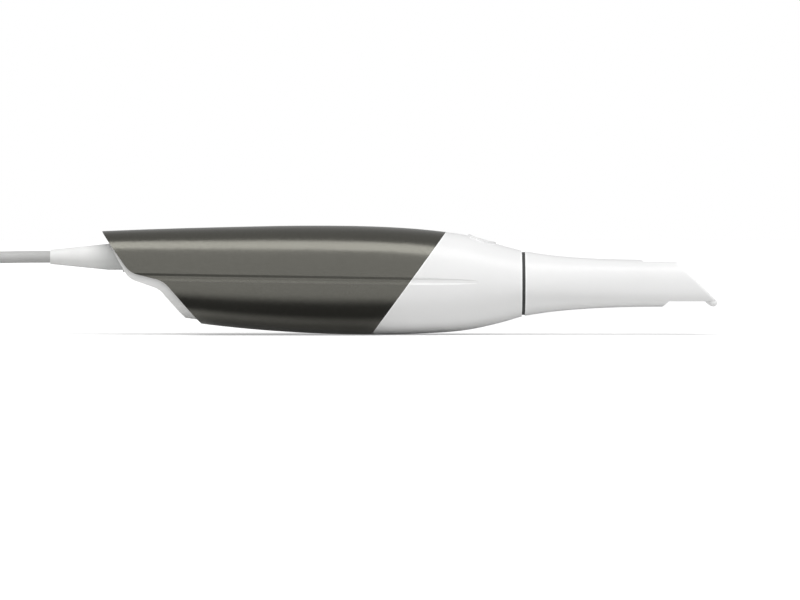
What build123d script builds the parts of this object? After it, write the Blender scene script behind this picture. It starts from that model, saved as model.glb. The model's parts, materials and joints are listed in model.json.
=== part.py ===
from build123d import *
from math import asin, cos, degrees, hypot, pi, radians, sin, tan
import os


# Intraoral scanner, lying on its belly with the scanning tip towards +X and its button up.
# Lengths in millimetres. The origin is under the middle of the scanner, level with its belly.

# Grip, section by section: place along X, top, belly, half width, widest height,
# and the fullness of the upper and the lower half (0.55 is an ellipse, 1 a box)
grip_sections = [
    (-120.0, 42.5, 12.0, 14.5, 24.4, 0.66, 0.66),
    (-95.0, 43.5, 7.6, 16.9, 24.0, 0.66, 0.66),
    (-65.0, 44.35, 3.35, 19.0, 23.5, 0.65, 0.65),
    (-30.0, 44.95, 0.68, 20.6, 23.0, 0.64, 0.64),
    (0.0, 44.45, 0.08, 21.0, 22.5, 0.63, 0.63),
    (20.0, 43.0, 0.72, 20.2, 22.2, 0.61, 0.61),
    (34.0, 41.0, 1.9, 18.4, 22.0, 0.58, 0.58),
    (47.0, 37.4, 4.6, 15.6, 21.5, 0.5523, 0.5523),
    (57.0, 34.7, 7.5, 13.6, 21.1, 0.5523, 0.5523),
]
section_steps = 3
optical_height = 21.1

# Casing
sleeve_wall = 1.4
nose_wall = 2.0
slip_gap = 0.1
rear_edge = [(-115.7, 42.7), (-103.7, 25.8), (-89.8, 22.35), (-75.0, 4.9)]
rear_edge_rounds = [9.0, 10.0]
front_edge = [(25.9, 42.5), (-5.05, 0.0)]
collar_length = 7.0
collar_root = 3.0
collar_wall = 1.6

# Long shallow groove in both flanks: width at the skin and at its floor, and its depth at each
# section of the grip, from the rear to where it has run out of the skin
groove_width = 3.2
groove_floor = 1.1
groove_depth = 0.45
groove_depths = [0.45, 0.45, 0.45, 0.45, 0.45, 0.4, 0.2, -0.35]
groove_over = 1.0

# Rear cap, its edge seen from the side, and its socket for the strain relief
cap_edge = [(-112.9, 38.5), (-104.2, 23.3), (-91.6, 18.9), (-83.4, 9.4)]
cap_edge_rounds = [8.0, 8.0]
cap_wall = 2.0
cap_front = -62.0
socket_boss_wall = 2.6
socket_drop = 10.4

# Strain relief and cable
cable_radius = 2.5
cable_height = grip_sections[0][1] - socket_drop
relief_end = -137.1
relief_end_radius = 3.0
relief_root = -107.2
relief_root_radius = 5.4
relief_root_length = 6.0
relief_flange_radius = 6.3
relief_flange_thickness = 1.7
relief_neck_radius = 4.5
relief_neck_length = 7.5

# Ring between nose and tip, and the snout that carries the tip
ring_place = 57.0
ring_thickness = 1.3
ring_recess = 0.35
snout_gap = 0.35
snout_wall = 1.3
snout_drawback = 31.1
snout_shoulder = 0.3
flange_radius = 12.2
flange_bore = 7.6
flange_thickness = 2.5
screw_radius = 1.0
screw_head_radius = 1.8
screw_head_height = 1.3
screw_circle = 10.2
screw_angles = [20, 160, 215, 325]
window_thickness = 1.5
window_ledge = 1.2

# Tip, section by section from its round seat to the squarer end that goes into the mouth
tip_rear = ring_place + ring_thickness
tip_reach = 137.1
tip_overrun = 5.0
tip_sections = [
    (tip_rear, 34.4, 7.8, 13.3, 21.1, 0.5523, 0.5523),
    (70.0, 32.75, 9.5, 11.9, 21.1, 0.58, 0.61),
    (86.0, 31.5, 10.8, 11.0, 21.1, 0.63, 0.7),
    (103.0, 31.0, 11.4, 10.6, 21.1, 0.66, 0.78),
    (tip_reach + tip_overrun, 30.7, 11.4, 10.25, 21.1, 0.66, 0.81),
]
tip_wall = 1.4
slant = radians(45)
lip_radius = 1.5
lip_height = 13.28
lip_half_length = 7.2
crown_depth = 0.6
crown_setback = 29.7
crown_slope = 1.6
crown_drop = 1.4
window_depth = 2.45
window_setback = 19.8
window_slope = 2.7
window_sill = 1.2
window_half_width = 7.4
window_length = 14.6
tip_edge_round = 0.6
mirror_thickness = 1.1
mirror_gap = 0.15
mirror_rise = 1.35

# Button on the nose
button_place = 40.7
button_height = 39.3
button_tilt = 16.0
button_radius = 4.7
button_gap = 0.08
button_rim = 1.2
button_rim_proud = 0.65
button_cap_proud = 0.25
button_flange_radius = 5.8
button_flange_depth = 3.1
button_flange_thickness = 0.7
button_travel = 0.6
switch_gap = 0.2
switch_depth = button_flange_depth + button_flange_thickness + button_travel + switch_gap
switch_size = 6.0
switch_height = 2.0
switch_stem_radius = 1.5
switch_stem = 0.8
button_board_thickness = 1.2
button_board_rear = 8.5
button_board_front = 4.0
button_board_half_width = 6.5
button_post_radius = 1.6
button_post_rear = 6.6
button_post_side = 4.6

# Chassis that carries the optics
deck_top = 13.0
deck_thickness = 2.0
deck_half_width = 13.0
deck_front = 41.0
bulkhead_thickness = 3.0
bulkhead_gap = 0.15
bulkhead_height = 29.2
rear_bulkhead = -62.0
rear_bulkhead_bore = 7.0
rail_side = 9.0
rail_width = 2.5
rail_end = -96.0
board_height = 25.0

# Lens barrel and focus drive
barrel_rear = 12.0
barrel_radius = 8.0
barrel_spigot_radius = 7.0
barrel_bore = 6.0
lens_thickness = 3.0
lens_bulge = 1.2
lens_gap = 0.05
lens_radius = barrel_bore - lens_gap
rod_radius = 1.5
rod_side = 12.0
rod_height = 17.5
running_gap = 0.05
carriage_rear = -11.0
carriage_length = 18.0
carriage_half_width = 15.0
carriage_lift = 0.8
carriage_shoulder = 3.5
focus_travel = 1.5
belt_low = 7.0
belt_width = 2.5
belt_thickness = 0.8
pulley_radius = 5.0
pulley_flange = 0.8
pulley_lip = 1.2
pin_head_radius = 1.8
pin_head_height = 0.7
motor_bevel = 0.6
drive_place = -48.0
idler_place = 10.0
spindle_radius = 1.0
motor_radius = 6.5
motor_height = 14.0
clamp_gap = 0.1
clamp_jaw = 0.8
clamp_length = 8.0
clamp_place = -2.0
clamp_reach = 2 * focus_travel
clamp_side_gap = 0.2
weight_rear = -34.0
weight_length = 14.0
weight_low = 6.2
weight_cover = 1.0
weight_outer = 11.5
weight_rod_side = 9.0
weight_rod_height = 8.6
weight_rod_radius = 1.0
lug_thickness = 2.5
lug_gap = 4.0
lug_half_width = 2.0

# Beam splitter, camera and light source
splitter_rear = -33.0
splitter_length = 20.0
splitter_half_width = 9.0
splitter_top = 37.0
splitter_beam_bore = 6.0
cube_size = 14.0
cube_gap = 0.05
splitter_round = 1.5
board_thickness = 1.2
sensor_size = 8.0
sensor_board_drop = 7.0
sensor_board_rise = 9.0
chip_thickness = 1.0
led_size = 4.0
slide_thickness = 1.0
slide_drop = 3.0
led_board_reach = 7.5
sink_base = 1.5
sink_fin_height = 2.2
sink_fin_count = 5
sink_fin_width = 1.2

# Main board
main_board_thickness = 1.6
main_board_half_width = 12.0
main_board_front = -64.0
main_board_rear = -97.0
processor_setback = 6.5
processor_size = 13.0
processor_height = 1.5
socket_setback = 1.0
socket_length = 9.0
socket_width = 12.0
socket_height = 9.5

# Plug on the far end
plug_place = -283.0
plug_side = 20.2
plug_round = 2.0
plug_tongue_thickness = 1.6
plug_tongue_setback = 1.0
plug_length = 30.0
plug_width = 16.0
plug_height = 8.0
plug_relief_length = 13.0
plug_relief_radius = 3.2
plug_relief_root_radius = 3.9
plug_shell_length = 18.0
plug_shell_width = 12.0
plug_shell_height = 4.5
plug_shell_wall = 0.4
plug_shell_seat = 4.0

# Cable from the strain relief over the hank, and from the hank to the plug
bend_share = 0.45
lead_route = [
    (relief_end, 0, cable_height),
    (-160, 0, cable_height),
    (-184, 2.0, 30.6),
    (-206, 6.0, 28.0),
    (-226, 11.5, 26.3),
    (-243, 18.0, 21.0),
]
tail_route = [
    (-249, 19.4, 3.6),
    (-266, plug_side, plug_height / 2),
    (plug_place, plug_side, plug_height / 2),
]

# Put-away length of the cable: a tied hank in line with the scanner
hank_middle = -217.0
hank_loop_place = 28.0
hank_inner_loop = 15.0
hank_inner_waist = 7.0
cable_pitch = 5.2
hank_layers = 4
hank_bevel = 2.0
tie_thickness = 1.2
tie_width = 10.0
tie_slack = 0.6
tie_round = cable_radius

# Reach of the solids that only cut
cut_reach = 60.0
far_reach = 240.0
edge_overrun = 15.0
far_overrun = 30.0

os.makedirs("parts", exist_ok=True)


# How each measure of a section changes along X, up to the next section
def slopes(section, following):
    return [(after - before) / (following[0] - section[0]) for before, after in zip(section, following)]


# The sections with more of them worked out between, so that a skin through them keeps an even line
def filled(sections):
    runs = [slopes(*pair) for pair in zip(sections, sections[1:])]
    leans = [[(a + b) / 2 for a, b in zip(*pair)] for pair in zip([runs[0], *runs], [*runs, runs[-1]])]
    made = []
    for section, following, lean, next_lean in zip(sections, sections[1:], leans, leans[1:]):
        gap = following[0] - section[0]
        for step in range(section_steps):
            near = step / section_steps
            far = 1 - near
            weights = (far**2 * (1 + 2 * near), near**2 * (1 + 2 * far), gap * near * far**2, -gap * near**2 * far)
            measures = zip(section, following, lean, next_lean)
            made.append([sum(w * value for w, value in zip(weights, values)) for values in measures])
    return [*made, sections[-1]]


# A quarter of an outline, from the flank to the ridge or the belly: one curve whose fullness
# is 0.55 for a quarter of an ellipse and 1 for a square corner
def quarter(half_width, rise, fullness, middle):
    Bezier(
        (half_width, middle),
        (half_width, middle + fullness * rise),
        (fullness * half_width, middle + rise),
        (0, middle + rise),
    )


# The solid through a list of sections, each drawn in by the inset
def skin(sections, inset=0.0):
    with BuildPart() as form:
        for place, top, belly, half_width, middle, upper, lower in filled(sections):
            with BuildSketch(Plane.YZ.offset(place)):
                with BuildLine():
                    for side in (half_width - inset, inset - half_width):
                        quarter(side, top - inset - middle, upper, middle)
                        quarter(side, belly + inset - middle, lower, middle)
                make_face()
        loft()
    return form.part


# A line in side view, carried on past both its ends
def stretched(points, reach=edge_overrun):
    (ax, az), (bx, bz) = points[0], points[1]
    (cx, cz), (dx, dz) = points[-2], points[-1]
    first = reach / hypot(bx - ax, bz - az)
    last = reach / hypot(dx - cx, dz - cz)
    start = (ax - first * (bx - ax), az - first * (bz - az))
    end = (dx + last * (dx - cx), dz + last * (dz - cz))
    return [start, *points[1:-1], end]


# Everything on one side of an edge line seen from the side, out to a far upright line
def beside(edge, rounds, far, shift=0.0, reach=edge_overrun):
    line = [(x + shift, z) for x, z in stretched(edge, reach)]
    with BuildPart() as slab:
        with BuildSketch(Plane.XZ):
            with BuildLine():
                if rounds:
                    FilletPolyline(*line, radius=rounds)
                else:
                    Line(*line)
                Polyline(line[-1], (far, line[-1][1]), (far, line[0][1]), line[0])
            make_face()
        extrude(amount=cut_reach, both=True)
    return slab.part


# A block given by its two ends along each axis
def block(x, y, z):
    with BuildPart() as solid:
        with BuildSketch(Plane.XY.offset(z[0])):
            with Locations(((x[0] + x[1]) / 2, (y[0] + y[1]) / 2)):
                Rectangle(x[1] - x[0], y[1] - y[0])
        extrude(amount=z[1] - z[0])
    return solid.part


# Everything between two places along X
def upright_slab(start, end):
    return block((start, end), (-cut_reach, cut_reach), (-cut_reach, cut_reach))


# A rod along X
def rod(radius, start, end, side=0.0, height=optical_height):
    with BuildPart() as solid:
        with BuildSketch(Plane.YZ.offset(start)):
            with Locations((side, height)):
                Circle(radius)
        extrude(amount=end - start)
    return solid.part


# A round lens that bulges at both faces, its axis along the plane's second direction
def lens(plane):
    bow = (lens_radius**2 + lens_bulge**2) / (2 * lens_bulge)
    spread = degrees(asin(lens_radius / bow))
    far_apex = lens_thickness + lens_bulge
    with BuildPart() as glass:
        with BuildSketch(plane):
            with BuildLine():
                Line((0, -lens_bulge), (0, far_apex))
                CenterArc((0, far_apex - bow), bow, 90 - spread, spread)
                Line((lens_radius, lens_thickness), (lens_radius, 0))
                CenterArc((0, bow - lens_bulge), bow, -90, spread)
            make_face()
        revolve(axis=Axis(plane.origin, plane.y_dir))
    return glass.part


grip_form = skin(grip_sections)
sleeve_hollow = skin(grip_sections, sleeve_wall)
collar_form = skin(grip_sections, sleeve_wall + slip_gap)
collar_hollow = skin(grip_sections, sleeve_wall + slip_gap + collar_wall)
cap_hollow = skin(grip_sections, sleeve_wall + slip_gap + cap_wall)
nose_hollow = skin(grip_sections, nose_wall)
screw_places = [
    (screw_circle * cos(radians(angle)), optical_height + screw_circle * sin(radians(angle)))
    for angle in screw_angles
]
belt_side = pulley_radius + running_gap + belt_thickness / 2
clamp_width = belt_thickness + 2 * clamp_gap + 2 * clamp_jaw
tip_form = skin(tip_sections)
tip_hollow = skin(tip_sections, tip_wall)

sleeve_space = beside(rear_edge, rear_edge_rounds, cut_reach)
nose_space = beside(front_edge, None, ring_place)


# The groove follows the widest line of the grip on one flank
def groove(side):
    slope = (groove_width - groove_floor) / 2 / groove_depth
    sections = [(row[0], row[3], row[4], depth) for row, depth in zip(grip_sections, groove_depths)]
    with BuildPart() as cutter:
        for place, flank, height, depth in filled(sections):
            floor = side * (flank - depth)
            outside = side * (flank + groove_over)
            spread = groove_floor / 2 + slope * (depth + groove_over)
            with BuildSketch(Plane.YZ.offset(place)):
                with BuildLine():
                    Polyline(
                        (outside, height + spread),
                        (floor, height + groove_floor / 2),
                        (floor, height - groove_floor / 2),
                        (outside, height - spread),
                        close=True,
                    )
                make_face()
        loft()
    return cutter.part


left_groove = groove(1)
right_groove = groove(-1)

# Dark metal sleeve around the grip, open at both ends
with BuildPart() as grip_sleeve:
    add(grip_form)
    add(sleeve_space, mode=Mode.INTERSECT)
    add(nose_space, mode=Mode.SUBTRACT)
    add(sleeve_hollow, mode=Mode.SUBTRACT)
    add(left_groove, mode=Mode.SUBTRACT)
    add(right_groove, mode=Mode.SUBTRACT)
grip_sleeve.part.label = "grip_sleeve"

# White nose with a collar that slips into the sleeve, and a raised rim around its button
button_plane = Plane(
    origin=(button_place, 0, button_height),
    x_dir=(cos(radians(button_tilt)), 0, -sin(radians(button_tilt))),
    z_dir=(sin(radians(button_tilt)), 0, cos(radians(button_tilt))),
)
rim_form = skin(grip_sections, -button_rim_proud)
cap_skin = skin(grip_sections, -button_cap_proud)
collar_space = beside(front_edge, None, ring_place, -collar_length)
nose_room = beside(front_edge, None, far_reach, collar_root)
button_hole_radius = button_radius + button_gap
post_depth = switch_depth + switch_stem + switch_height

with BuildPart() as rim_ring:
    with BuildSketch(button_plane.offset(-nose_wall)):
        Circle(button_hole_radius + button_rim)
    extrude(amount=2 * nose_wall)
    add(rim_form, mode=Mode.INTERSECT)

with BuildPart() as button_posts:
    with BuildSketch(button_plane.offset(-post_depth)):
        with Locations((-button_post_rear, button_post_side), (-button_post_rear, -button_post_side)):
            Circle(button_post_radius)
    extrude(amount=post_depth)
    add(grip_form, mode=Mode.INTERSECT)

with BuildPart() as nose_collar:
    add(collar_form)
    add(collar_space, mode=Mode.INTERSECT)
    add(nose_room, mode=Mode.SUBTRACT)

with BuildPart() as nose_shell:
    add(grip_form)
    add(nose_space, mode=Mode.INTERSECT)
    add(nose_collar.part)
    add(collar_hollow, mode=Mode.SUBTRACT)
    add(nose_hollow & nose_room, mode=Mode.SUBTRACT)
    add(rim_ring.part)
    add(button_posts.part)
    with BuildSketch(button_plane.offset(-button_flange_depth)):
        Circle(button_hole_radius)
    extrude(amount=2 * button_flange_depth, mode=Mode.SUBTRACT)
    add(left_groove, mode=Mode.SUBTRACT)
    add(right_groove, mode=Mode.SUBTRACT)
nose_shell.part.label = "nose_shell"

# Button that slides in the rim, held in by its flange
with BuildPart() as scan_button:
    with BuildSketch(button_plane.offset(-button_flange_depth)):
        Circle(button_radius)
    extrude(amount=2 * button_flange_depth)
    add(cap_skin, mode=Mode.INTERSECT)
    with BuildSketch(button_plane.offset(-button_flange_depth)):
        Circle(button_flange_radius)
    extrude(amount=-button_flange_thickness)
scan_button.part.label = "scan_button"

# Small circuit board with the switch that the button presses
with BuildPart() as button_board:
    with BuildSketch(button_plane.offset(-post_depth)):
        with Locations(((button_board_front - button_board_rear) / 2, 0)):
            Rectangle(button_board_front + button_board_rear, 2 * button_board_half_width)
    extrude(amount=-button_board_thickness)
button_board.part.label = "button_board"

with BuildPart() as button_switch:
    with BuildSketch(button_plane.offset(-post_depth)):
        Rectangle(switch_size, switch_size)
    extrude(amount=switch_height)
    with BuildSketch(button_plane.offset(-switch_depth)):
        Circle(switch_stem_radius)
    extrude(amount=-switch_stem)
button_switch.part.label = "button_switch"

# Light rear cap inside the end of the sleeve, with the socket for the strain relief
cap_space = beside(cap_edge, cap_edge_rounds, cut_reach)
cap_room = beside(cap_edge, cap_edge_rounds, cut_reach, cap_wall)
flange_seat = relief_root + relief_flange_thickness
neck_end = flange_seat + relief_neck_length
socket_radius = relief_flange_radius + slip_gap
boss_radius = socket_radius + socket_boss_wall

with BuildPart() as rear_cap:
    add(collar_form)
    add(cap_space, mode=Mode.INTERSECT)
    add(upright_slab(cap_front, far_reach), mode=Mode.SUBTRACT)
    add(cap_hollow & cap_room, mode=Mode.SUBTRACT)
    add(rod(boss_radius, -far_reach, neck_end, height=cable_height) & collar_form & cap_space)
    add(rod(socket_radius, -far_reach, flange_seat, height=cable_height), mode=Mode.SUBTRACT)
    add(rod(relief_neck_radius + running_gap, flange_seat, neck_end, height=cable_height), mode=Mode.SUBTRACT)
rear_cap.part.label = "rear_cap"

# Tapered strain relief, its flange seated in the cap
with BuildPart() as strain_relief:
    with BuildSketch(Plane.XZ):
        with BuildLine():
            Polyline(
                (relief_end, cable_height),
                (relief_end, cable_height + relief_end_radius),
                (relief_root - relief_root_length, cable_height + relief_root_radius),
                (relief_root, cable_height + relief_root_radius),
                (relief_root, cable_height + relief_flange_radius),
                (flange_seat, cable_height + relief_flange_radius),
                (flange_seat, cable_height + relief_neck_radius),
                (neck_end, cable_height + relief_neck_radius),
                (neck_end, cable_height),
                close=True,
            )
        make_face()
    revolve(axis=Axis((0, 0, cable_height), (1, 0, 0)))
strain_relief.part.label = "strain_relief"

# Dark ring, set a little deeper than the nose and the tip
with BuildPart() as seam_ring:
    with BuildSketch(Plane.YZ.offset(ring_place)):
        with Locations((0, optical_height)):
            Circle(tip_sections[0][3] - ring_recess)
            Circle(grip_sections[-1][3] - nose_wall, mode=Mode.SUBTRACT)
    extrude(amount=ring_thickness)
seam_ring.part.label = "seam_ring"

# Snout that the tip slides over, bolted to the chassis by its flange, with a ledge for its window
snout_inset = tip_wall + snout_gap
snout_neck_radius = tip_sections[0][3] - snout_inset - snout_shoulder
snout_form = skin(tip_sections, snout_inset)
snout_hollow = skin(tip_sections, snout_inset + snout_wall)
ledge_hollow = skin(tip_sections, snout_inset + snout_wall + window_ledge)
bulkhead_front = deck_front + bulkhead_thickness
flange_front = bulkhead_front + flange_thickness
snout_end = tip_reach - snout_drawback
window_seat = snout_end - window_thickness

with BuildPart() as snout_tube:
    add(snout_form)
    add(upright_slab(snout_end, far_reach), mode=Mode.SUBTRACT)
    add(rod(snout_neck_radius, bulkhead_front, tip_rear))
    add(rod(flange_radius, bulkhead_front, flange_front))
    add(snout_hollow, mode=Mode.SUBTRACT)
    add((snout_hollow - ledge_hollow) & upright_slab(window_seat - window_ledge, window_seat))
    add(rod(snout_neck_radius - snout_wall, flange_front, tip_rear), mode=Mode.SUBTRACT)
    add(rod(flange_bore, bulkhead_front, flange_front), mode=Mode.SUBTRACT)
    with BuildSketch(Plane.YZ.offset(bulkhead_front)):
        with Locations(*screw_places):
            Circle(screw_radius + running_gap)
    extrude(amount=flange_thickness, mode=Mode.SUBTRACT)
snout_tube.part.label = "snout_tube"

with BuildPart() as front_window:
    add(upright_slab(window_seat, snout_end))
    add(skin(tip_sections, snout_inset + snout_wall + running_gap), mode=Mode.INTERSECT)
front_window.part.label = "front_window"

# Tip: a tapered sleeve with a slanted end, a rounded lip below it and the scan window in its belly
lip_place = tip_reach - lip_radius
slant_point = (lip_place + lip_radius * sin(slant), lip_height + lip_radius * cos(slant))
slant_edge = [(slant_point[0] - cos(slant), slant_point[1] + sin(slant)), slant_point]
slant_run = 1 / sin(slant)
past_slant = beside(slant_edge, None, far_reach, reach=far_overrun)
past_wall = beside(slant_edge, None, far_reach, -tip_wall * slant_run, reach=far_overrun)
mirror_depth = (tip_wall + mirror_thickness) * slant_run
past_mirror = beside(slant_edge, None, far_reach, -mirror_depth, reach=far_overrun)
window_edge = tip_sections[-1][2] + window_depth
window_rear = tip_reach - window_setback
crown_height = tip_sections[-1][1] - crown_depth
crown_start = tip_reach - crown_setback

with BuildPart() as tip_shell:
    add(tip_form)
    add(past_slant, mode=Mode.SUBTRACT)
    with BuildSketch(Plane.XZ):
        Polygon(
            (crown_start - crown_slope, crown_height + crown_drop),
            (crown_start, crown_height),
            (far_reach, crown_height),
            (far_reach, crown_height + cut_reach),
            (crown_start - crown_slope, crown_height + cut_reach),
            align=None,
        )
        Polygon(
            (window_rear - 2 * window_slope, window_edge - 2 * window_depth),
            (window_rear, window_edge),
            (far_reach, window_edge),
            (far_reach, window_edge - 2 * window_depth),
            align=None,
        )
    extrude(amount=cut_reach, both=True, mode=Mode.SUBTRACT)
    slant_face = faces().sort_by(Axis((0, 0, 0), (sin(slant), 0, cos(slant))))[-1]
    fillet(slant_face.edges().sort_by(Axis.Z)[1:], tip_edge_round)
    add(tip_hollow - past_wall, mode=Mode.SUBTRACT)
    window_space = block(
        (window_rear + window_sill, window_rear + window_sill + window_length),
        (-window_half_width, window_half_width),
        (0, optical_height),
    )
    add(window_space - past_wall, mode=Mode.SUBTRACT)
    add(block((lip_place, far_reach), (-cut_reach, cut_reach), (0, slant_point[1])), mode=Mode.SUBTRACT)
    with BuildSketch(Plane.XZ):
        with Locations((lip_place, lip_height)):
            Circle(lip_radius)
        Polygon(
            (lip_place - 2 * lip_radius, window_edge),
            (lip_place - lip_radius * sin(slant), lip_height - lip_radius * cos(slant)),
            (lip_place, lip_height),
            (lip_place, window_edge),
            align=None,
        )
    extrude(amount=lip_half_length, both=True)
    with Locations((lip_place, lip_half_length, lip_height), (lip_place, -lip_half_length, lip_height)):
        Sphere(lip_radius)
tip_shell.part.label = "tip_shell"

# Mirror that turns the view down through the window
mirror_low = window_edge + mirror_rise
mirror_high = crown_height - tip_wall - mirror_gap

with BuildPart() as tip_mirror:
    add(skin(tip_sections, tip_wall + mirror_gap))
    add(past_mirror, mode=Mode.INTERSECT)
    add(past_wall, mode=Mode.SUBTRACT)
    add(block((0, far_reach), (-cut_reach, cut_reach), (mirror_low, mirror_high)), mode=Mode.INTERSECT)
tip_mirror.part.label = "tip_mirror"

# Chassis: a deck between two bulkheads, with rails for the main board behind
rod_hole = rod_radius + running_gap
nose_fit = skin(grip_sections, nose_wall + bulkhead_gap)
sleeve_fit = skin(grip_sections, sleeve_wall + bulkhead_gap)
rear_bulkhead_front = rear_bulkhead + bulkhead_thickness
deck_low = deck_top - deck_thickness
deck = block((rear_bulkhead, deck_front), (-deck_half_width, deck_half_width), (deck_low, deck_top))

with BuildPart() as optics_chassis:
    add(nose_fit)
    add(upright_slab(deck_front, bulkhead_front), mode=Mode.INTERSECT)
    add(block((0, far_reach), (-cut_reach, cut_reach), (bulkhead_height, cut_reach)), mode=Mode.SUBTRACT)
    add(sleeve_fit & upright_slab(rear_bulkhead, rear_bulkhead_front))
    add(deck & nose_fit)
    for side in (rail_side, -rail_side):
        add(
            block(
                (rail_end, rear_bulkhead),
                (side - rail_width / 2, side + rail_width / 2),
                (board_height - rail_width, board_height),
            )
        )
    for place in (weight_rear - lug_gap - lug_thickness, weight_rear + weight_length + lug_gap):
        add(
            block(
                (place, place + lug_thickness),
                (-weight_rod_side - lug_half_width, -weight_rod_side + lug_half_width),
                (weight_rod_height - lug_half_width, deck_low),
            )
        )
    add(rod(barrel_spigot_radius + running_gap, deck_front, bulkhead_front), mode=Mode.SUBTRACT)
    add(rod(rear_bulkhead_bore, rear_bulkhead, rear_bulkhead_front, height=cable_height), mode=Mode.SUBTRACT)
    for side in (rod_side, -rod_side):
        add(rod(rod_hole, rear_bulkhead, bulkhead_front, side, rod_height), mode=Mode.SUBTRACT)
    add(
        rod(weight_rod_radius + running_gap, rear_bulkhead, 0, -weight_rod_side, weight_rod_height),
        mode=Mode.SUBTRACT,
    )
    with BuildSketch(Plane.YZ.offset(deck_front)):
        with Locations(*screw_places):
            Circle(screw_radius + running_gap)
    extrude(amount=bulkhead_thickness, mode=Mode.SUBTRACT)
    with BuildSketch(Plane.XY.offset(deck_top)):
        with Locations((drive_place, 0)):
            Circle(spindle_radius + clamp_gap)
        with Locations((idler_place, 0)):
            Circle(spindle_radius + running_gap)
        with Locations((clamp_place, belt_side)):
            Rectangle(clamp_length + 2 * clamp_reach, clamp_width + 2 * clamp_side_gap)
    extrude(amount=-deck_thickness, mode=Mode.SUBTRACT)
optics_chassis.part.label = "optics_chassis"

# Screws that hold the snout's flange to the chassis
with BuildPart() as flange_screws:
    with BuildSketch(Plane.YZ.offset(deck_front)):
        with Locations(*screw_places):
            Circle(screw_radius)
    extrude(amount=bulkhead_thickness + flange_thickness)
    with BuildSketch(Plane.YZ.offset(deck_front)):
        with Locations(*screw_places):
            Circle(screw_head_radius)
    extrude(amount=-screw_head_height)
flange_screws.part.label = "flange_screws"

# Lens barrel with its two fixed lenses
barrel_front = bulkhead_front - lens_gap
along_x = {"x_dir": (0, 0, 1), "z_dir": (0, 1, 0)}

with BuildPart() as objective_barrel:
    add(rod(barrel_radius, barrel_rear, deck_front))
    add(rod(barrel_spigot_radius, deck_front, barrel_front))
    add(rod(barrel_bore, barrel_rear, barrel_front), mode=Mode.SUBTRACT)
objective_barrel.part.label = "objective_barrel"

front_lens_place = barrel_front - lens_thickness - lens_bulge

with BuildPart() as objective_front_lens:
    add(lens(Plane(origin=(front_lens_place, 0, optical_height), **along_x)))
objective_front_lens.part.label = "objective_front_lens"

with BuildPart() as objective_rear_lens:
    add(lens(Plane(origin=(barrel_rear + lens_bulge, 0, optical_height), **along_x)))
objective_rear_lens.part.label = "objective_rear_lens"

# Focus carriage on two guide rods, gripping one run of the drive belt through a slot in the deck
belt_top = belt_low + belt_width
carriage_front = carriage_rear + carriage_length
clamp_ends = (clamp_place - clamp_length / 2, clamp_place + clamp_length / 2)

with BuildPart() as focus_carriage:
    add(
        block(
            (carriage_rear, carriage_front),
            (-carriage_half_width, carriage_half_width),
            (deck_top + carriage_lift, rod_height + carriage_shoulder),
        )
    )
    add(rod(barrel_radius - clamp_gap, carriage_rear, carriage_front))
    add(
        block(
            clamp_ends,
            (belt_side - clamp_width / 2, belt_side + clamp_width / 2),
            (belt_low - clamp_jaw, deck_top + carriage_lift),
        )
    )
    add(
        block(
            clamp_ends,
            (belt_side - belt_thickness / 2 - clamp_gap, belt_side + belt_thickness / 2 + clamp_gap),
            (belt_low - clamp_jaw, belt_top + clamp_gap),
        ),
        mode=Mode.SUBTRACT,
    )
    add(rod(barrel_bore, carriage_rear, carriage_front), mode=Mode.SUBTRACT)
    for side in (rod_side, -rod_side):
        add(rod(rod_hole, carriage_rear, carriage_front, side, rod_height), mode=Mode.SUBTRACT)
focus_carriage.part.label = "focus_carriage"

with BuildPart() as focus_lens:
    add(lens(Plane(origin=(carriage_rear + carriage_length / 2, 0, optical_height), **along_x)))
focus_lens.part.label = "focus_lens"

with BuildPart() as guide_rods:
    for side in (rod_side, -rod_side):
        add(rod(rod_radius, rear_bulkhead, bulkhead_front, side, rod_height))
guide_rods.part.label = "guide_rods"

# Counterweight on its own rod under the deck, gripping the other run of the belt
weight_front = weight_rear + weight_length

with BuildPart() as focus_counterweight:
    add(
        block(
            (weight_rear, weight_front),
            (-weight_outer, -belt_side + clamp_width / 2),
            (weight_low, belt_top + weight_cover),
        )
    )
    add(
        block(
            (weight_rear, weight_front),
            (-belt_side - belt_thickness / 2 - clamp_gap, -belt_side + belt_thickness / 2 + clamp_gap),
            (belt_low - clamp_gap, belt_top + weight_cover),
        ),
        mode=Mode.SUBTRACT,
    )
    add(
        rod(weight_rod_radius + running_gap, weight_rear, weight_front, -weight_rod_side, weight_rod_height),
        mode=Mode.SUBTRACT,
    )
focus_counterweight.part.label = "focus_counterweight"

with BuildPart() as weight_rod:
    add(
        rod(
            weight_rod_radius,
            weight_rear - lug_gap - lug_thickness,
            weight_front + lug_gap + lug_thickness,
            -weight_rod_side,
            weight_rod_height,
        )
    )
weight_rod.part.label = "weight_rod"


# A flanged pulley under the deck, solid about its middle
def pulley(place):
    with BuildPart() as wheel:
        with BuildSketch(Plane.XY.offset(belt_low - clamp_gap - pulley_flange)):
            with Locations((place, 0)):
                Circle(pulley_radius + pulley_lip)
        extrude(amount=pulley_flange)
        with BuildSketch(Plane.XY.offset(belt_low - clamp_gap)):
            with Locations((place, 0)):
                Circle(pulley_radius)
        extrude(amount=belt_width + 2 * clamp_gap)
        with BuildSketch(Plane.XY.offset(belt_top + clamp_gap)):
            with Locations((place, 0)):
                Circle(pulley_radius + pulley_lip)
        extrude(amount=pulley_flange)
    return wheel.part


# An upright pin
def upright_pin(place, radius, low, high):
    with BuildPart() as pin:
        with BuildSketch(Plane.XY.offset(low)):
            with Locations((place, 0)):
                Circle(radius)
        extrude(amount=high - low)
    return pin.part


pulley_low = belt_low - clamp_gap - pulley_flange
pin_low = pulley_low - clamp_gap
spindle_top = deck_top + motor_height / 2
spindle_hole = spindle_radius + running_gap

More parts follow.
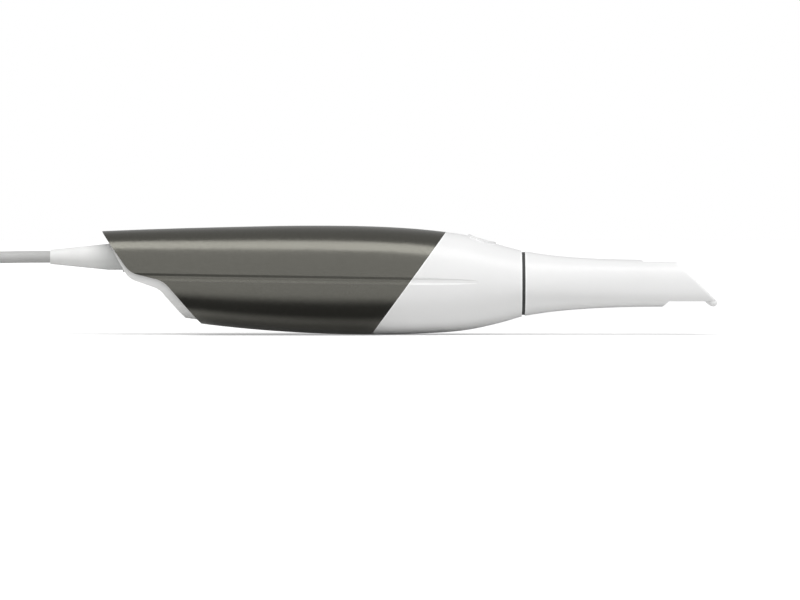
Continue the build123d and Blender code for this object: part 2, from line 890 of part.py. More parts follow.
with BuildPart() as drive_pulley:
    add(pulley(drive_place))
    add(upright_pin(drive_place, spindle_radius, pulley_low, spindle_top))
drive_pulley.part.label = "drive_pulley"

with BuildPart() as idler_pulley:
    add(pulley(idler_place))
    add(upright_pin(idler_place, spindle_hole, 0, deck_top), mode=Mode.SUBTRACT)
idler_pulley.part.label = "idler_pulley"

with BuildPart() as idler_pin:
    add(upright_pin(idler_place, spindle_radius, pin_low, deck_top))
    add(upright_pin(idler_place, pin_head_radius, pin_low - pin_head_height, pin_low))
idler_pin.part.label = "idler_pin"

with BuildPart() as drive_motor:
    add(upright_pin(drive_place, motor_radius, deck_top, deck_top + motor_height))
    chamfer(edges().group_by(Axis.Z)[-1], motor_bevel)
    add(upright_pin(drive_place, spindle_hole, deck_top, spindle_top + clamp_gap), mode=Mode.SUBTRACT)
drive_motor.part.label = "drive_motor"

belt_run = idler_place - drive_place

with BuildPart() as drive_belt:
    with BuildSketch(Plane.XY.offset(belt_low)):
        with Locations(((drive_place + idler_place) / 2, 0)):
            SlotCenterToCenter(belt_run, 2 * belt_side + belt_thickness)
            SlotCenterToCenter(belt_run, 2 * belt_side - belt_thickness, mode=Mode.SUBTRACT)
    extrude(amount=belt_width)
drive_belt.part.label = "drive_belt"

# Housing of the beam splitter, open at one side for its cube, with a bore along each beam
splitter_front = splitter_rear + splitter_length
splitter_middle = (splitter_rear + splitter_front) / 2
pocket = cube_size / 2 + cube_gap
cube_top = optical_height + cube_size / 2

with BuildPart() as splitter_housing:
    add(
        block(
            (splitter_rear, splitter_front),
            (-splitter_half_width, splitter_half_width),
            (deck_top, splitter_top),
        )
    )
    fillet(edges().filter_by(Axis.Z), splitter_round)
    add(rod(splitter_beam_bore, splitter_rear, splitter_front), mode=Mode.SUBTRACT)
    add(
        block(
            (splitter_middle - pocket, splitter_middle + pocket),
            (-pocket, splitter_half_width),
            (optical_height - pocket, optical_height + pocket),
        ),
        mode=Mode.SUBTRACT,
    )
    add(upright_pin(splitter_middle, splitter_beam_bore, cube_top, splitter_top), mode=Mode.SUBTRACT)
splitter_housing.part.label = "splitter_housing"

with BuildPart() as beam_splitter:
    add(
        block(
            (splitter_middle - cube_size / 2, splitter_middle + cube_size / 2),
            (-cube_size / 2, cube_size / 2),
            (optical_height - cube_size / 2, cube_top),
        )
    )
beam_splitter.part.label = "beam_splitter"

with BuildPart() as sensor_board:
    add(
        block(
            (splitter_rear - board_thickness, splitter_rear),
            (-sensor_size, sensor_size),
            (optical_height - sensor_board_drop, optical_height + sensor_board_rise),
        )
    )
sensor_board.part.label = "sensor_board"

with BuildPart() as image_sensor:
    add(
        block(
            (splitter_rear, splitter_rear + chip_thickness),
            (-sensor_size / 2, sensor_size / 2),
            (optical_height - sensor_size / 2, optical_height + sensor_size / 2),
        )
    )
image_sensor.part.label = "image_sensor"

# Light source above the cube: condenser lens, pattern slide, lamp and its board, heat sink
condenser_low = cube_top + lens_bulge + cube_gap
slide_low = splitter_top - slide_drop
sink_low = splitter_top + board_thickness

with BuildPart() as condenser_lens:
    add(lens(Plane(origin=(splitter_middle, 0, condenser_low), x_dir=(1, 0, 0), z_dir=(0, -1, 0))))
condenser_lens.part.label = "condenser_lens"

with BuildPart() as pattern_slide:
    add(upright_pin(splitter_middle, lens_radius, slide_low, slide_low + slide_thickness))
pattern_slide.part.label = "pattern_slide"

with BuildPart() as led_emitter:
    add(
        block(
            (splitter_middle - led_size / 2, splitter_middle + led_size / 2),
            (-led_size / 2, led_size / 2),
            (splitter_top - chip_thickness, splitter_top),
        )
    )
led_emitter.part.label = "led_emitter"

with BuildPart() as led_board:
    add(
        block(
            (splitter_middle - led_board_reach, splitter_middle + led_board_reach),
            (-led_board_reach, led_board_reach),
            (splitter_top, sink_low),
        )
    )
led_board.part.label = "led_board"

sink_fin_pitch = (2 * led_board_reach - sink_fin_width) / (sink_fin_count - 1)

with BuildPart() as led_heatsink:
    with BuildSketch(Plane.XY.offset(sink_low)):
        with Locations((splitter_middle, 0)):
            Rectangle(2 * led_board_reach, 2 * led_board_reach)
    extrude(amount=sink_base)
    with BuildSketch(Plane.XY.offset(sink_low + sink_base)):
        with Locations((splitter_middle, 0)):
            with GridLocations(0, sink_fin_pitch, 1, sink_fin_count):
                Rectangle(2 * led_board_reach, sink_fin_width)
    extrude(amount=sink_fin_height)
led_heatsink.part.label = "led_heatsink"

# Main board on the chassis rails, its processor and the socket where the cable ends
board_top = board_height + main_board_thickness
processor_front = main_board_front - processor_setback
socket_rear = main_board_rear + socket_setback

with BuildPart() as main_board:
    add(
        block(
            (main_board_rear, main_board_front),
            (-main_board_half_width, main_board_half_width),
            (board_height, board_top),
        )
    )
main_board.part.label = "main_board"

with BuildPart() as processor:
    add(
        block(
            (processor_front - processor_size, processor_front),
            (-processor_size / 2, processor_size / 2),
            (board_top, board_top + processor_height),
        )
    )
processor.part.label = "processor"

with BuildPart() as cable_socket:
    add(
        block(
            (socket_rear, socket_rear + socket_length),
            (-socket_width / 2, socket_width / 2),
            (board_top, board_top + socket_height),
        )
    )
cable_socket.part.label = "cable_socket"

with BuildPart() as inner_lead:
    add(rod(cable_radius, neck_end, socket_rear, height=cable_height))
inner_lead.part.label = "inner_lead"


# The radius of each bend of a cable route: as large as its two runs allow
def bend_radii(route):
    radii = []
    for before, corner, after in zip(route, route[1:], route[2:]):
        coming = Vector(*corner) - Vector(*before)
        going = Vector(*after) - Vector(*corner)
        turn = radians(coming.get_angle(going))
        radii.append(bend_share * min(coming.length, going.length) / tan(turn / 2))
    return radii


# A cable along its route
def cable(route):
    radii = bend_radii(route)
    print("bend radii", [round(radius, 1) for radius in radii])
    with BuildPart() as tube:
        with BuildLine() as path:
            FilletPolyline(*route, radius=radii)
        with BuildSketch(Plane(origin=route[0], z_dir=Vector(*route[1]) - Vector(*route[0]))):
            Circle(cable_radius)
        sweep(path=path.line)
    length = path.wire().length
    share = tube.part.volume / (pi * cable_radius**2 * length)
    print("cable length", round(length, 1), "volume over section times length", round(share, 4))
    return tube.part


with BuildPart() as cable_lead:
    add(cable(lead_route))
cable_lead.part.label = "cable_lead"

with BuildPart() as cable_tail:
    add(cable(tail_route))
cable_tail.part.label = "cable_tail"

# The rest of the cable, folded into a hank of runs that draw together under a tie
hank_top = tie_thickness + hank_layers * cable_pitch
hank_outer_loop = hank_inner_loop + cable_pitch
hank_outer_waist = hank_inner_waist + cable_pitch


# Half the width of the hank at a distance from its middle
def hank_side(distance, loop, waist):
    share = distance / hank_loop_place
    return waist + (loop - waist) * share**2 * (3 - 2 * share)


# The outline of the hank, or of its eye: two round loops joined by arcs that draw in to the waist
def hank_outline(loop, waist):
    middle_place = hank_loop_place / 2
    middle_side = (loop + waist) / 2
    for side in (1, -1):
        near = (hank_middle + hank_loop_place, side * loop)
        near_turn = (hank_middle + middle_place, side * middle_side)
        far_turn = (hank_middle - middle_place, side * middle_side)
        far = (hank_middle - hank_loop_place, side * loop)
        TangentArc(near, near_turn, tangent=(-1, 0))
        TangentArc((hank_middle, side * waist), near_turn, tangent=(1, 0))
        TangentArc((hank_middle, side * waist), far_turn, tangent=(-1, 0))
        TangentArc(far, far_turn, tangent=(1, 0))
        place = hank_middle + side * hank_loop_place
        ThreePointArc((place, loop), (place + side * loop, 0), (place, -loop))


with BuildPart() as cable_hank:
    with BuildSketch(Plane.XY.offset(tie_thickness)):
        with BuildLine():
            hank_outline(hank_outer_loop + cable_pitch / 2, hank_outer_waist + cable_pitch / 2)
        make_face()
        with BuildLine():
            hank_outline(hank_inner_loop - cable_pitch / 2, hank_inner_waist - cable_pitch / 2)
        make_face(mode=Mode.SUBTRACT)
    extrude(amount=hank_top - tie_thickness)
    chamfer(faces().filter_by(Axis.Z).edges(), hank_bevel)
cable_hank.part.label = "cable_hank"

# Strap around the waist of the hank
tie_half = hank_side(tie_width / 2, hank_outer_loop, hank_outer_waist) + cable_pitch / 2 + tie_slack
tie_outside = tie_half + tie_thickness
tie_top = hank_top + tie_slack

with BuildPart() as cable_tie:
    with BuildSketch(Plane.YZ.offset(hank_middle - tie_width / 2)):
        with Locations((0, (tie_top + tie_thickness) / 2)):
            RectangleRounded(2 * tie_outside, tie_top + tie_thickness, tie_round + tie_thickness)
            RectangleRounded(2 * tie_half, tie_top - tie_thickness, tie_round, mode=Mode.SUBTRACT)
    extrude(amount=tie_width)
cable_tie.part.label = "cable_tie"

# Plug on the far end: a moulded grip with a tapered relief, and its metal shell
plug_axis = plug_height / 2
grip_front = plug_place - plug_relief_length
grip_end = grip_front - plug_length

with BuildPart() as plug_grip:
    with BuildSketch(Plane.YZ.offset(grip_end)):
        with Locations((plug_side, plug_axis)):
            RectangleRounded(plug_width, plug_height, plug_round)
    extrude(amount=plug_length)
    with BuildSketch(Plane.YZ.offset(grip_front)):
        with Locations((plug_side, plug_axis)):
            Circle(plug_relief_root_radius)
    with BuildSketch(Plane.YZ.offset(plug_place)):
        with Locations((plug_side, plug_axis)):
            Circle(plug_relief_radius)
    loft()
    add(
        block(
            (grip_end, grip_end + plug_shell_seat),
            (plug_side - plug_shell_width / 2, plug_side + plug_shell_width / 2),
            (plug_axis - plug_shell_height / 2, plug_axis + plug_shell_height / 2),
        ),
        mode=Mode.SUBTRACT,
    )
plug_grip.part.label = "plug_grip"

shell_end = grip_end + plug_shell_seat - plug_shell_length
shell_room_width = plug_shell_width - 2 * plug_shell_wall
tongue_top = plug_axis + plug_shell_height / 2 - plug_shell_wall

with BuildPart() as plug_shell:
    with BuildSketch(Plane.YZ.offset(shell_end)):
        with Locations((plug_side, plug_axis)):
            Rectangle(plug_shell_width, plug_shell_height)
            Rectangle(shell_room_width, plug_shell_height - 2 * plug_shell_wall, mode=Mode.SUBTRACT)
    extrude(amount=plug_shell_length)
plug_shell.part.label = "plug_shell"

with BuildPart() as plug_tongue:
    add(
        block(
            (shell_end + plug_tongue_setback, grip_end + plug_shell_seat),
            (plug_side - shell_room_width / 2, plug_side + shell_room_width / 2),
            (tongue_top - plug_tongue_thickness, tongue_top),
        )
    )
plug_tongue.part.label = "plug_tongue"

pieces = [
    grip_sleeve, nose_shell, scan_button, button_board, button_switch, rear_cap, strain_relief, seam_ring,
    snout_tube, front_window, tip_shell, tip_mirror, optics_chassis, flange_screws, objective_barrel,
    objective_front_lens, objective_rear_lens, focus_carriage, focus_lens, guide_rods, focus_counterweight,
    weight_rod, drive_pulley, idler_pulley, idler_pin, drive_motor, drive_belt, splitter_housing,
    beam_splitter, sensor_board, image_sensor, condenser_lens, pattern_slide, led_emitter, led_board,
    led_heatsink, main_board, processor, cable_socket, inner_lead, cable_lead, cable_hank, cable_tie,
    cable_tail, plug_grip, plug_shell, plug_tongue,
]
for piece in pieces:
    export_step(piece.part, f"parts/{piece.part.label}.step")
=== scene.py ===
import json
from math import cos, pi, radians, sin, sqrt

import bmesh
import bpy
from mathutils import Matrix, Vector


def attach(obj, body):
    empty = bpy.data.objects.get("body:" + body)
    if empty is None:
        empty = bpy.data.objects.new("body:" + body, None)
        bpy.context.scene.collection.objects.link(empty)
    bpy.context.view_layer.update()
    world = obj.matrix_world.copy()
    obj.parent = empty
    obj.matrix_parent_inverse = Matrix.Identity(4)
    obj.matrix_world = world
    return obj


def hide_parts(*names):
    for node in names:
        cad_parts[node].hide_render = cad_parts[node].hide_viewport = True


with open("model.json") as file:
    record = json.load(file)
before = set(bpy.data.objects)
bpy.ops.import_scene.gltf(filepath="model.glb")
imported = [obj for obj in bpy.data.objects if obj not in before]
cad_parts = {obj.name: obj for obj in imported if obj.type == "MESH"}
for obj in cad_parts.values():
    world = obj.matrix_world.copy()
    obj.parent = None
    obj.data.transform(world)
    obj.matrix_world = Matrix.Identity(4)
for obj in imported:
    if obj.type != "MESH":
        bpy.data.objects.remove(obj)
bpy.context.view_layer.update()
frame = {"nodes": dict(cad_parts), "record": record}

mm = 0.001
nodes = frame["nodes"]
print("scanner frame loaded:", len(nodes), "pieces")

# Camera: level with the grip, far away and long, as product shots are taken
camera = {
    "aim": (6.9, 0.0, 14.3),
    "distance": 2200.0,
    "azimuth": 0.0,
    "elevation": 1.0,
    "viewWidth": 329.6,
    "filmWidth": 36.0,
    "clip": (0.05, 60.0),  # metres
}


def placeCamera():
    azimuth, elevation = radians(camera["azimuth"]), radians(camera["elevation"])
    aim = Vector(camera["aim"]) * mm
    away = Vector((sin(azimuth) * cos(elevation), -cos(azimuth) * cos(elevation), sin(elevation)))
    lens = bpy.data.cameras.new("productLens")
    lens.sensor_width = camera["filmWidth"]
    lens.lens = camera["filmWidth"] * camera["distance"] / camera["viewWidth"]
    lens.clip_start, lens.clip_end = camera["clip"]
    body = bpy.data.objects.new("productCamera", lens)
    bpy.context.scene.collection.objects.link(body)
    body.location = aim + away * camera["distance"] * mm
    body.rotation_euler = (-away).to_track_quat("-Z", "Y").to_euler()
    bpy.context.scene.camera = body


placeCamera()
print("camera placed")


# A socket's value that can stand in sums: each sum makes its maths node
class Wire:
    def __init__(self, finish, socket):
        self.finish = finish
        self.socket = socket

    def __add__(self, other):
        return self.finish.maths("ADD", self, other)

    def __radd__(self, other):
        return self.finish.maths("ADD", other, self)

    def __sub__(self, other):
        return self.finish.maths("SUBTRACT", self, other)

    def __rsub__(self, other):
        return self.finish.maths("SUBTRACT", other, self)

    def __mul__(self, other):
        return self.finish.maths("MULTIPLY", self, other)

    def __rmul__(self, other):
        return self.finish.maths("MULTIPLY", other, self)

    def __lt__(self, other):
        return self.finish.maths("LESS_THAN", self, other)


# What a finish sets, and the socket of the shader that takes it
skinSockets = {
    "colour": "Base Color",
    "rough": "Roughness",
    "metal": "Metallic",
    "normal": "Normal",
    "ior": "IOR",
    "clear": "Transmission Weight",
    "gleam": "Specular IOR Level",
    "glow": "Emission Color",
    "glowLevel": "Emission Strength",
}


# The nodes of one material, or of the world
class Finish:
    def __init__(self, holder, ending="ShaderNodeOutputMaterial"):
        holder.use_nodes = True
        self.holder = holder
        self.tree = holder.node_tree
        self.tree.nodes.clear()
        self.ending = self.tree.nodes.new(ending)

    # Makes a node: its settings first, then what goes into its sockets, a value or a wire
    def node(self, kind, settings=None, inputs=None, output=0):
        made = self.tree.nodes.new(kind)
        for name, value in (settings or {}).items():
            setattr(made, name, value)
        for name, value in (inputs or {}).items():
            socket = made.inputs[name]
            if isinstance(value, Wire):
                self.tree.links.new(value.socket, socket)
            else:
                socket.default_value = (*value, 1) if socket.type == "RGBA" else value
        return Wire(self, made.outputs[output])

    def maths(self, operation, first, second=0.0):
        return self.node("ShaderNodeMath", {"operation": operation}, {0: first, 1: second})

    def place(self, scale=(1, 1, 1)):
        spot = self.node("ShaderNodeTexCoord", output="Object")
        return self.node("ShaderNodeMapping", None, {"Vector": spot, "Scale": scale})

    def along(self, axis):
        spot = self.node("ShaderNodeTexCoord", output="Object")
        return self.node("ShaderNodeSeparateXYZ", None, {"Vector": spot}, axis)

    def noise(self, size, detail=3.0, roughness=0.5, where=None):
        sockets = {"Scale": 1 / (size * mm), "Detail": detail, "Roughness": roughness}
        return self.node("ShaderNodeTexNoise", None, {"Vector": where or self.place(), **sockets})

    # Spreads 0 to 1 over low to high: 3 and 4 are the node's To Min and To Max
    def spread(self, value, low, high):
        return self.node("ShaderNodeMapRange", None, {"Value": value, 3: low, 4: high})

    # Rises softly from 0 to 1 between start and end: 1 and 2 are the node's From Min and From Max
    def step(self, value, start, end):
        soft = {"interpolation_type": "SMOOTHSTEP"}
        return self.node("ShaderNodeMapRange", soft, {"Value": value, 1: start, 2: end})

    # Mixes two colours, which are the node's sockets 6 and 7
    def blend(self, share, first, second):
        return self.node("ShaderNodeMix", {"data_type": "RGBA"}, {0: share, 6: first, 7: second}, 2)

    def bump(self, height, depth):
        return self.node("ShaderNodeBump", None, {"Height": height, "Distance": depth * mm, "Strength": 1.0})

    def end(self, surface):
        self.tree.links.new(surface.socket, self.ending.inputs["Surface"])
        return self.holder

    def skin(self, **looks):
        sockets = {skinSockets[key]: value for key, value in looks.items()}
        return self.end(self.node("ShaderNodeBsdfPrincipled", None, sockets))


def newFinish(name):
    return Finish(bpy.data.materials.new(name))


# Linear colour from the values a colour picker shows
def tone(*values):
    shares = (v / 255 for v in values)
    return tuple(v / 12.92 if v <= 0.04 else ((v + 0.055) / 1.055) ** 2.4 for v in shares)


# Lacquer of the sleeve: fine metal flakes, and a gloss that drifts a little
sleeveLook = {
    "dark": tone(99, 98, 92),
    "light": tone(111, 110, 104),
    "metal": 1.0,
    "rough": 0.24,
    "roughDrift": 0.05,
    "drift": 28.0,
    "flake": 0.25,
    "flakeEdge": (0.42, 0.62),
    "relief": 0.004,
}


def sleeveLacquer():
    look = sleeveLook
    finish = newFinish("sleeveLacquer")
    flake = finish.noise(look["flake"], 2.0)
    drift = finish.noise(look["drift"])
    return finish.skin(
        colour=finish.blend(finish.step(flake, *look["flakeEdge"]), look["dark"], look["light"]),
        rough=finish.spread(drift, look["rough"] - look["roughDrift"], look["rough"] + look["roughDrift"]),
        metal=look["metal"],
        normal=finish.bump(flake, look["relief"]),
    )


# Moulded plastic: a faint cloud in its shade, a drift in its gloss and a fine grain
plasticLook = {
    "cloud": 40.0,
    "cloudEdge": (0.3, 0.7),
    "cloudShade": 0.97,
    "drift": 14.0,
    "glossier": 0.04,
    "duller": 0.05,
    "ior": 1.49,
}


def shellPlastic(name, colour, rough, texture, depth, paintedLight=None):
    look = plasticLook
    finish = newFinish(name)
    cloud = finish.noise(look["cloud"])
    grain = finish.noise(texture, 2.0)
    cloudy = tuple(v * look["cloudShade"] for v in colour)
    shade = finish.blend(finish.step(cloud, *look["cloudEdge"]), cloudy, colour)
    drift = finish.noise(look["drift"], 4.0)
    gloss = finish.spread(drift, rough - look["glossier"], rough + look["duller"])
    # Where given, painted light changes the colour, and the gloss with it
    if paintedLight:
        shade, gloss = paintedLight(finish, shade, gloss)
    return finish.skin(colour=shade, rough=gloss, normal=finish.bump(grain, depth), ior=look["ior"])


# Painted highlights on the edges of the white shell: along the slanted joint, beside the black ring
# and round the slanted end a brighter white stands in for the light these edges catch, and they are also a
# little glossier. A width is where the highlight starts to fade and where it ends
shellHighlights = {
    "highlightTone": tone(254, 254, 254),
    "glossier": 0.1,
    "joint": (-5.05, 0.808, -0.589),  # its X at height 0, then its normal along X and Z
    "jointWidth": (0.35, 0.6),
    "ringMiddle": 57.65,
    "ringWidth": (1.15, 1.4),
    "slantFace": 106.774,  # its distance from the origin, along its own normal
    "slantWidth": (0.9, 1.2),
    "slantStart": 0.2,
}


# Painted highlights: a brighter white in narrow lines along the joint, beside the ring and round the slanted
# end, which are also a little glossier
def shellHighlightPaint(finish, shade, gloss):
    x, z = finish.along("X"), finish.along("Z")
    place, across, up = shellHighlights["joint"]
    fromJoint = (x - place * mm) * across + z * up
    fromRing = finish.maths("ABSOLUTE", x - shellHighlights["ringMiddle"] * mm)
    fromSlant = shellHighlights["slantFace"] * mm - (x + z) * sqrt(0.5)

    def within(distance, width):
        return 1 - finish.step(distance, *(v * mm for v in shellHighlights[width]))

    slant = within(fromSlant, "slantWidth") * finish.step(fromSlant, 0.0, shellHighlights["slantStart"] * mm)
    highlightShare = finish.maths("MAXIMUM", within(fromJoint, "jointWidth"), within(fromRing, "ringWidth"))
    highlightShare = finish.maths("MAXIMUM", highlightShare, slant)
    return finish.blend(highlightShare, shade, shellHighlights["highlightTone"]), gloss - highlightShare * shellHighlights["glossier"]


# Rubber: paler where dust holds, with a fine grain
rubberLook = {
    "dust": 9.0,
    "dustEdge": (0.35, 0.75),
    "dustShade": (1.06, 0.006),  # times the colour, plus
    "glossier": 0.05,
    "duller": 0.06,
    "gleam": 0.4,
}


def rubber(name, colour, rough, texture, depth, paintedLight=None):
    look = rubberLook
    finish = newFinish(name)
    grain = finish.noise(texture)
    dust = finish.noise(look["dust"], 4.0)
    times, plus = look["dustShade"]
    pale = tuple(min(1.0, v * times + plus) for v in colour)
    shade = finish.blend(finish.step(dust, *look["dustEdge"]), colour, pale)
    # Where given, painted shade changes the colour
    if paintedLight:
        shade = paintedLight(finish, shade)
    gloss = finish.spread(dust, rough - look["glossier"], rough + look["duller"])
    return finish.skin(colour=shade, rough=gloss, normal=finish.bump(grain, depth), gleam=look["gleam"])


# Painted shade: the strain relief is greyer towards its root, where the sleeve's rear edge shades it
reliefRootShade = {"shade": tone(196, 197, 196), "from": -124.0, "to": -108.0}


# Painted shade: the strain relief darkens towards its root
def reliefPaintedShade(finish, shade):
    root = finish.step(finish.along("X"), reliefRootShade["from"] * mm, reliefRootShade["to"] * mm)
    return finish.blend(root, shade, reliefRootShade["shade"])


# Metal: fine lines, drawn out along the axes whose share of the brushing is small
metalLook = {"lines": 0.3, "lineEdge": (0.3, 0.7), "lineShade": 0.9, "glossier": 0.06, "duller": 0.08}


def metal(name, colour, rough, brushed, depth, strength=1.0):
    look = metalLook
    finish = newFinish(name)
    lines = finish.noise(look["lines"], where=finish.place(brushed), roughness=0.6)
    dark = tuple(v * look["lineShade"] for v in colour)
    return finish.skin(
        colour=finish.blend(finish.step(lines, *look["lineEdge"]), dark, colour),
        rough=finish.spread(lines, rough - look["glossier"], rough + look["duller"]),
        metal=strength,
        normal=finish.bump(lines, depth),
    )


glassLook = {"haze": 4.0, "hazeRough": 0.03}


def glass(name, tint, index):
    finish = newFinish(name)
    haze = finish.spread(finish.noise(glassLook["haze"]), 0.0, glassLook["hazeRough"])
    return finish.skin(colour=tint, rough=haze, clear=1.0, ior=index)


# Circuit board: tracks under the green mask, and bare pads
boardLook = {
    "mask": tone(12, 92, 52),
    "track": tone(24, 120, 70),
    "pad": tone(196, 178, 120),
    "trackLength": 3.1,
    "trackPitch": 0.9,
    "trackShift": 0.37,
    "trackGap": 0.12,
    "trackSoftness": 0.2,
    "padPitch": 2.4,
    "padSize": 0.14,
    "rough": (0.34, 0.24),
    "relief": 0.03,
}


def circuitBoard():
    look = boardLook
    finish = newFinish("circuitBoard")
    tracks = finish.node("ShaderNodeTexBrick", {"offset": look["trackShift"]}, {
        "Vector": finish.place(),
        "Scale": 1 / mm,
        "Mortar Size": look["trackGap"],
        "Mortar Smooth": look["trackSoftness"],
        "Brick Width": look["trackLength"],
        "Row Height": look["trackPitch"],
    }, "Fac")
    spots = {"Vector": finish.place(), "Scale": 1 / (look["padPitch"] * mm)}
    pad = finish.node("ShaderNodeTexVoronoi", {"feature": "F1"}, spots) < look["padSize"]
    green = finish.blend(tracks, look["mask"], look["track"])
    return finish.skin(
        colour=finish.blend(pad, green, look["pad"]),
        rough=finish.spread(pad, *look["rough"]),
        metal=pad,
        normal=finish.bump(tracks + pad, look["relief"]),
    )


# One finish for each slot. Plastic and rubber: colour, roughness, grain and its depth.
# Metal: colour, roughness, brushing along X, Y and Z, depth of the lines and share of metal
finishes = {
    "sleeve_metal": sleeveLacquer(),
    "white_shell": shellPlastic("whiteShell", tone(242, 242, 242), 0.3, 0.5, 0.002, shellHighlightPaint),
    "cap_plastic": shellPlastic("capPlastic", tone(234, 234, 233), 0.34, 0.5, 0.002),
    "button_plastic": shellPlastic("buttonPlastic", tone(236, 236, 235), 0.28, 0.5, 0.002),
    "relief_rubber": rubber("reliefRubber", tone(232, 232, 231), 0.5, 0.25, 0.006, reliefPaintedShade),
    "ring_rubber": rubber("ringRubber", tone(62, 62, 62), 0.6, 0.2, 0.008),
    "snout_metal": metal("snoutMetal", tone(40, 40, 42), 0.42, (1, 0.05, 0.05), 0.003, 0.7),
    "window_glass": glass("windowGlass", tone(236, 246, 248), 1.5),
    "tip_mirror": metal("tipMirror", tone(238, 240, 242), 0.07, (1, 1, 1), 0.0),
    "chassis_aluminium": metal("chassisAluminium", tone(200, 202, 205), 0.34, (0.05, 1, 1), 0.004),
    "barrel_aluminium": metal("barrelAluminium", tone(34, 34, 36), 0.4, (1, 0.05, 0.05), 0.004, 0.7),
    "lens_glass": glass("lensGlass", tone(230, 242, 246), 1.6),
    "ground_steel": metal("groundSteel", tone(190, 190, 192), 0.24, (0.05, 1, 1), 0.002),
    "weight_brass": metal("weightBrass", tone(206, 172, 104), 0.3, (0.1, 1, 1), 0.003),
    "belt_rubber": rubber("beltRubber", tone(24, 24, 24), 0.62, 0.2, 0.01),
    "circuit_board": circuitBoard(),
    "chip_black": rubber("chipBlack", tone(28, 28, 29), 0.42, 0.08, 0.003),
    "lamp_face": shellPlastic("lampFace", tone(238, 218, 120), 0.3, 0.1, 0.004),
    "cable_grey": rubber("cableGrey", tone(184, 184, 183), 0.46, 0.3, 0.004),
    "tie_fabric": rubber("tieFabric", tone(30, 30, 32), 0.8, 0.2, 0.05),
    "plug_plastic": shellPlastic("plugPlastic", tone(196, 196, 194), 0.48, 0.15, 0.008),
    "plug_metal": metal("plugMetal", tone(205, 206, 208), 0.22, (0.1, 1, 1), 0.002),
    "tongue_plastic": shellPlastic("tonguePlastic", tone(236, 236, 234), 0.4, 0.2, 0.003),
}
slotOf = {row["node"]: row["material_slot"] for row in frame["record"]["subparts"]}
for name, piece in nodes.items():
    piece.data.materials.clear()
    piece.data.materials.append(finishes[slotOf[name]])
print("finishes made:", len(finishes))

# Cable: its line from the strain relief over the hank and through its turns to the plug
cable = {
    "thickness": 5.0,
    "length": 1750.0,
    "lead": [(-137.1, 0, 32.1), (-160, 0, 32.1), (-184, 2.0, 30.6), (-206, 6.0, 28.0), (-226, 11.5, 26.3)],
    "tail": [(-266, 20.2, 4.0), (-283, 20.2, 4.0)],
    "passes": 7,
    "firstChange": 14,  # the point at which the first turn moves to its next track
    "hankMiddle": -217.0,
    "loopPlace": 28.0,
    "loops": (20.2, 15.0),
    "waists": (12.2, 7.0),
    "lowLayer": 3.8,
    "pitch": 5.2,
    "layers": 4,
    "roundness": 0.925,  # radius of the smooth line in a loop, as a share of that of its points
    "waistTrim": 0.9,
    "sideSteps": 5,  # how finely the mesh is cut round the cable
    "runSteps": 6,  # and along it, between two points
}
halfTurn = 8  # points to half a turn: five round a loop, then three along a waist
loopSteps = 4
waistMiddle = (loopSteps + halfTurn) // 2


# The tracks of the hank from the top outside to the bottom outside: loop, waist and height
def hankTracks():
    tracks = []
    for layer in range(cable["layers"]):
        height = cable["lowLayer"] + (cable["layers"] - 1 - layer) * cable["pitch"]
        columns = (0, 1) if layer % 2 == 0 else (1, 0)
        tracks += [(cable["loops"][c], cable["waists"][c], height) for c in columns]
    return tracks


# A point of a track: round the far loop, along one waist, round the near loop, along the other
def trackPoint(track, number):
    loop, waist, height = track
    half, place = divmod(number, halfTurn)
    side = 1 if half else -1
    if place <= loopSteps:
        reach = loop / cable["roundness"]
        middle = cable["hankMiddle"] + side * cable["loopPlace"]
        angle = place * pi / loopSteps - side * pi / 2
        return (middle + reach * cos(angle), reach * sin(angle), height)
    share = side * (waistMiddle - place) / 2
    width = waist - cable["waistTrim"] + (loop - waist) * abs(share)
    return (cable["hankMiddle"] + share * cable["loopPlace"], side * width, height)


def cableLine():
    tracks = hankTracks()
    points = list(cable["lead"])
    for turn in range(cable["passes"]):
        change = cable["firstChange"] - turn  # one point earlier than in the turn before
        for number in range(2 * halfTurn):
            track = tracks[turn + 1] if number >= change else tracks[turn]
            points.append(trackPoint(track, number))
    lastLoop, _, lowest = tracks[-1]
    points.append((cable["hankMiddle"] - cable["loopPlace"], lastLoop, lowest))
    return points + cable["tail"]


def layCable():
    points = cableLine()
    line = bpy.data.curves.new("cableLine", "CURVE")
    line.dimensions = "3D"
    line.bevel_depth = cable["thickness"] / 2 * mm
    line.bevel_resolution = cable["sideSteps"]
    line.resolution_u = cable["runSteps"]
    line.use_fill_caps = True
    spline = line.splines.new("NURBS")
    spline.points.add(len(points) - 1)
    for point, place in zip(spline.points, points):
        point.co = (*(v * mm for v in place), 1)
    spline.order_u = 3
    spline.use_endpoint_u = True
    piece = bpy.data.objects.new("scannerCable", line)
    bpy.context.scene.collection.objects.link(piece)
    line.materials.append(finishes["cable_grey"])
    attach(piece, "handle")
    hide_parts("cable_lead", "cable_hank", "cable_tail")


layCable()
print("cable laid")

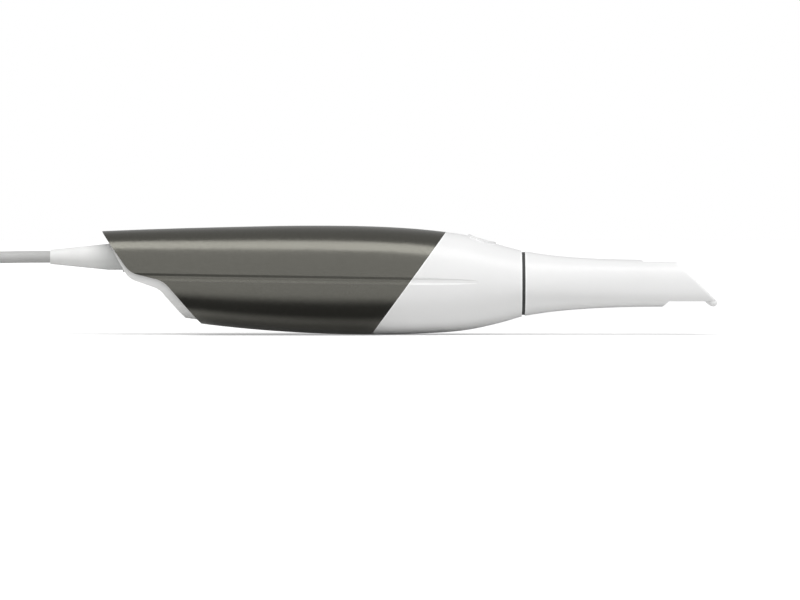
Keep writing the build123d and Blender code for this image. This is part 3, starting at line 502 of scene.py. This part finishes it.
# Studio: pale floor, white room that dims overhead and behind, a panel in front, a long strip above
# the front, and on the floor a dark card along each side of the grip that only reflections see.
# Sizes and places are in metres, the paper's grain and the cards in millimetres
studio = {
    "floorSize": 12.0,
    "paper": tone(250, 250, 250),
    "paperUnseen": tone(222, 222, 221),
    "paperGrain": 60.0,
    "paperShade": 0.98,
    "paperRough": 0.9,
    "paperGleam": 0.1,
    "lift": (0.3, 0.78),  # what the paper glows by, near and far
    "liftSpread": (0.35, 1.6),
    "mirrorLift": 0.05,
    "room": 0.44,
    "backdrop": 1.0,
    "overhead": 0.48,
    "overheadEdge": (0.7, 0.96),
    "behindEdge": (0.1, 0.45),
    "cardNear": (11.0, 20.0),
    "cardFar": (30.0, 56.0),
    "cardDepth": 0.86,
    "lights": {
        "frontPanel": {"place": (0.0, -2.0, 0.75), "size": (5.0, 2.2), "radiance": 0.46, "mirrored": False},
        "highStrip": {"place": (0.0, -0.5, 1.2), "size": (3.4, 0.62), "radiance": 2.35, "mirrored": True},
    },
}
black, white = (0.0, 0.0, 0.0), (1.0, 1.0, 1.0)


# Whether the eye, a mirror or a glass looks at it
def looked(finish):
    kinds = ("Is Camera Ray", "Is Glossy Ray", "Is Transmission Ray")
    return [finish.node("ShaderNodeLightPath", output=kind) for kind in kinds]


def paperFinish():
    finish = newFinish("studioPaper")
    eye, mirror, glazing = looked(finish)
    grain = finish.noise(studio["paperGrain"], 2.0)
    shaded = tuple(v * studio["paperShade"] for v in studio["paper"])
    shade = finish.blend(grain, shaded, studio["paper"])
    side = finish.maths("ABSOLUTE", finish.along("Y"))
    start, stop = ([v * mm for v in studio[key]] for key in ("cardNear", "cardFar"))
    card = finish.step(side, *start) * (1 - finish.step(side, *stop)) * mirror * studio["cardDepth"]
    seen = finish.blend(eye + mirror + glazing, studio["paperUnseen"], shade)
    away = finish.node("ShaderNodeVectorMath", {"operation": "LENGTH"}, {0: finish.place()}, "Value")
    lift = (eye + glazing) * finish.spread(finish.step(away, *studio["liftSpread"]), *studio["lift"])
    return finish.skin(
        colour=finish.blend(card, seen, black),
        rough=studio["paperRough"],
        gleam=studio["paperGleam"],
        glow=finish.blend(lift + mirror * (1 - card) * studio["mirrorLift"], black, white),
        glowLevel=1.0,
    )


def roomLight():
    world = bpy.data.worlds.new("studioRoom")
    bpy.context.scene.world = world
    room = Finish(world, "ShaderNodeOutputWorld")
    eye, mirror, glazing = looked(room)
    aim = room.node("ShaderNodeTexCoord", output="Generated")
    behind, height = (room.node("ShaderNodeSeparateXYZ", None, {"Vector": aim}, axis) for axis in "YZ")
    above, beyond = room.step(height, *studio["overheadEdge"]), room.step(behind, *studio["behindEdge"])
    dim = room.maths("MAXIMUM", above, beyond)
    mirrored = room.spread(dim, studio["backdrop"], studio["overhead"])
    unseen = 1 - eye - glazing - mirror
    level = (eye + glazing) * studio["backdrop"] + mirror * mirrored + unseen * studio["room"]
    room.end(room.node("ShaderNodeBackground", None, {"Color": white, "Strength": level}))


def softLight(name, setup):
    lamp = bpy.data.lights.new(name, "AREA")
    lamp.shape = "RECTANGLE"
    lamp.size, lamp.size_y = setup["size"]
    lamp.energy = setup["radiance"] * pi * lamp.size * lamp.size_y
    holder = bpy.data.objects.new(name, lamp)
    bpy.context.scene.collection.objects.link(holder)
    holder.visible_camera = False
    holder.visible_glossy = setup["mirrored"]
    holder.location = setup["place"]
    holder.rotation_euler = (-Vector(setup["place"])).to_track_quat("-Z", "Y").to_euler()


def buildStudio():
    shape = bmesh.new()
    bmesh.ops.create_grid(shape, x_segments=1, y_segments=1, size=studio["floorSize"] / 2)
    mesh = bpy.data.meshes.new("studioFloor")
    shape.to_mesh(mesh)
    shape.free()
    mesh.materials.append(paperFinish())
    floor = bpy.data.objects.new("studioFloor", mesh)
    bpy.context.scene.collection.objects.link(floor)
    roomLight()
    for name, setup in studio["lights"].items():
        softLight(name, setup)


buildStudio()
bpy.context.scene.view_settings.view_transform = "Standard"
print("studio lit")
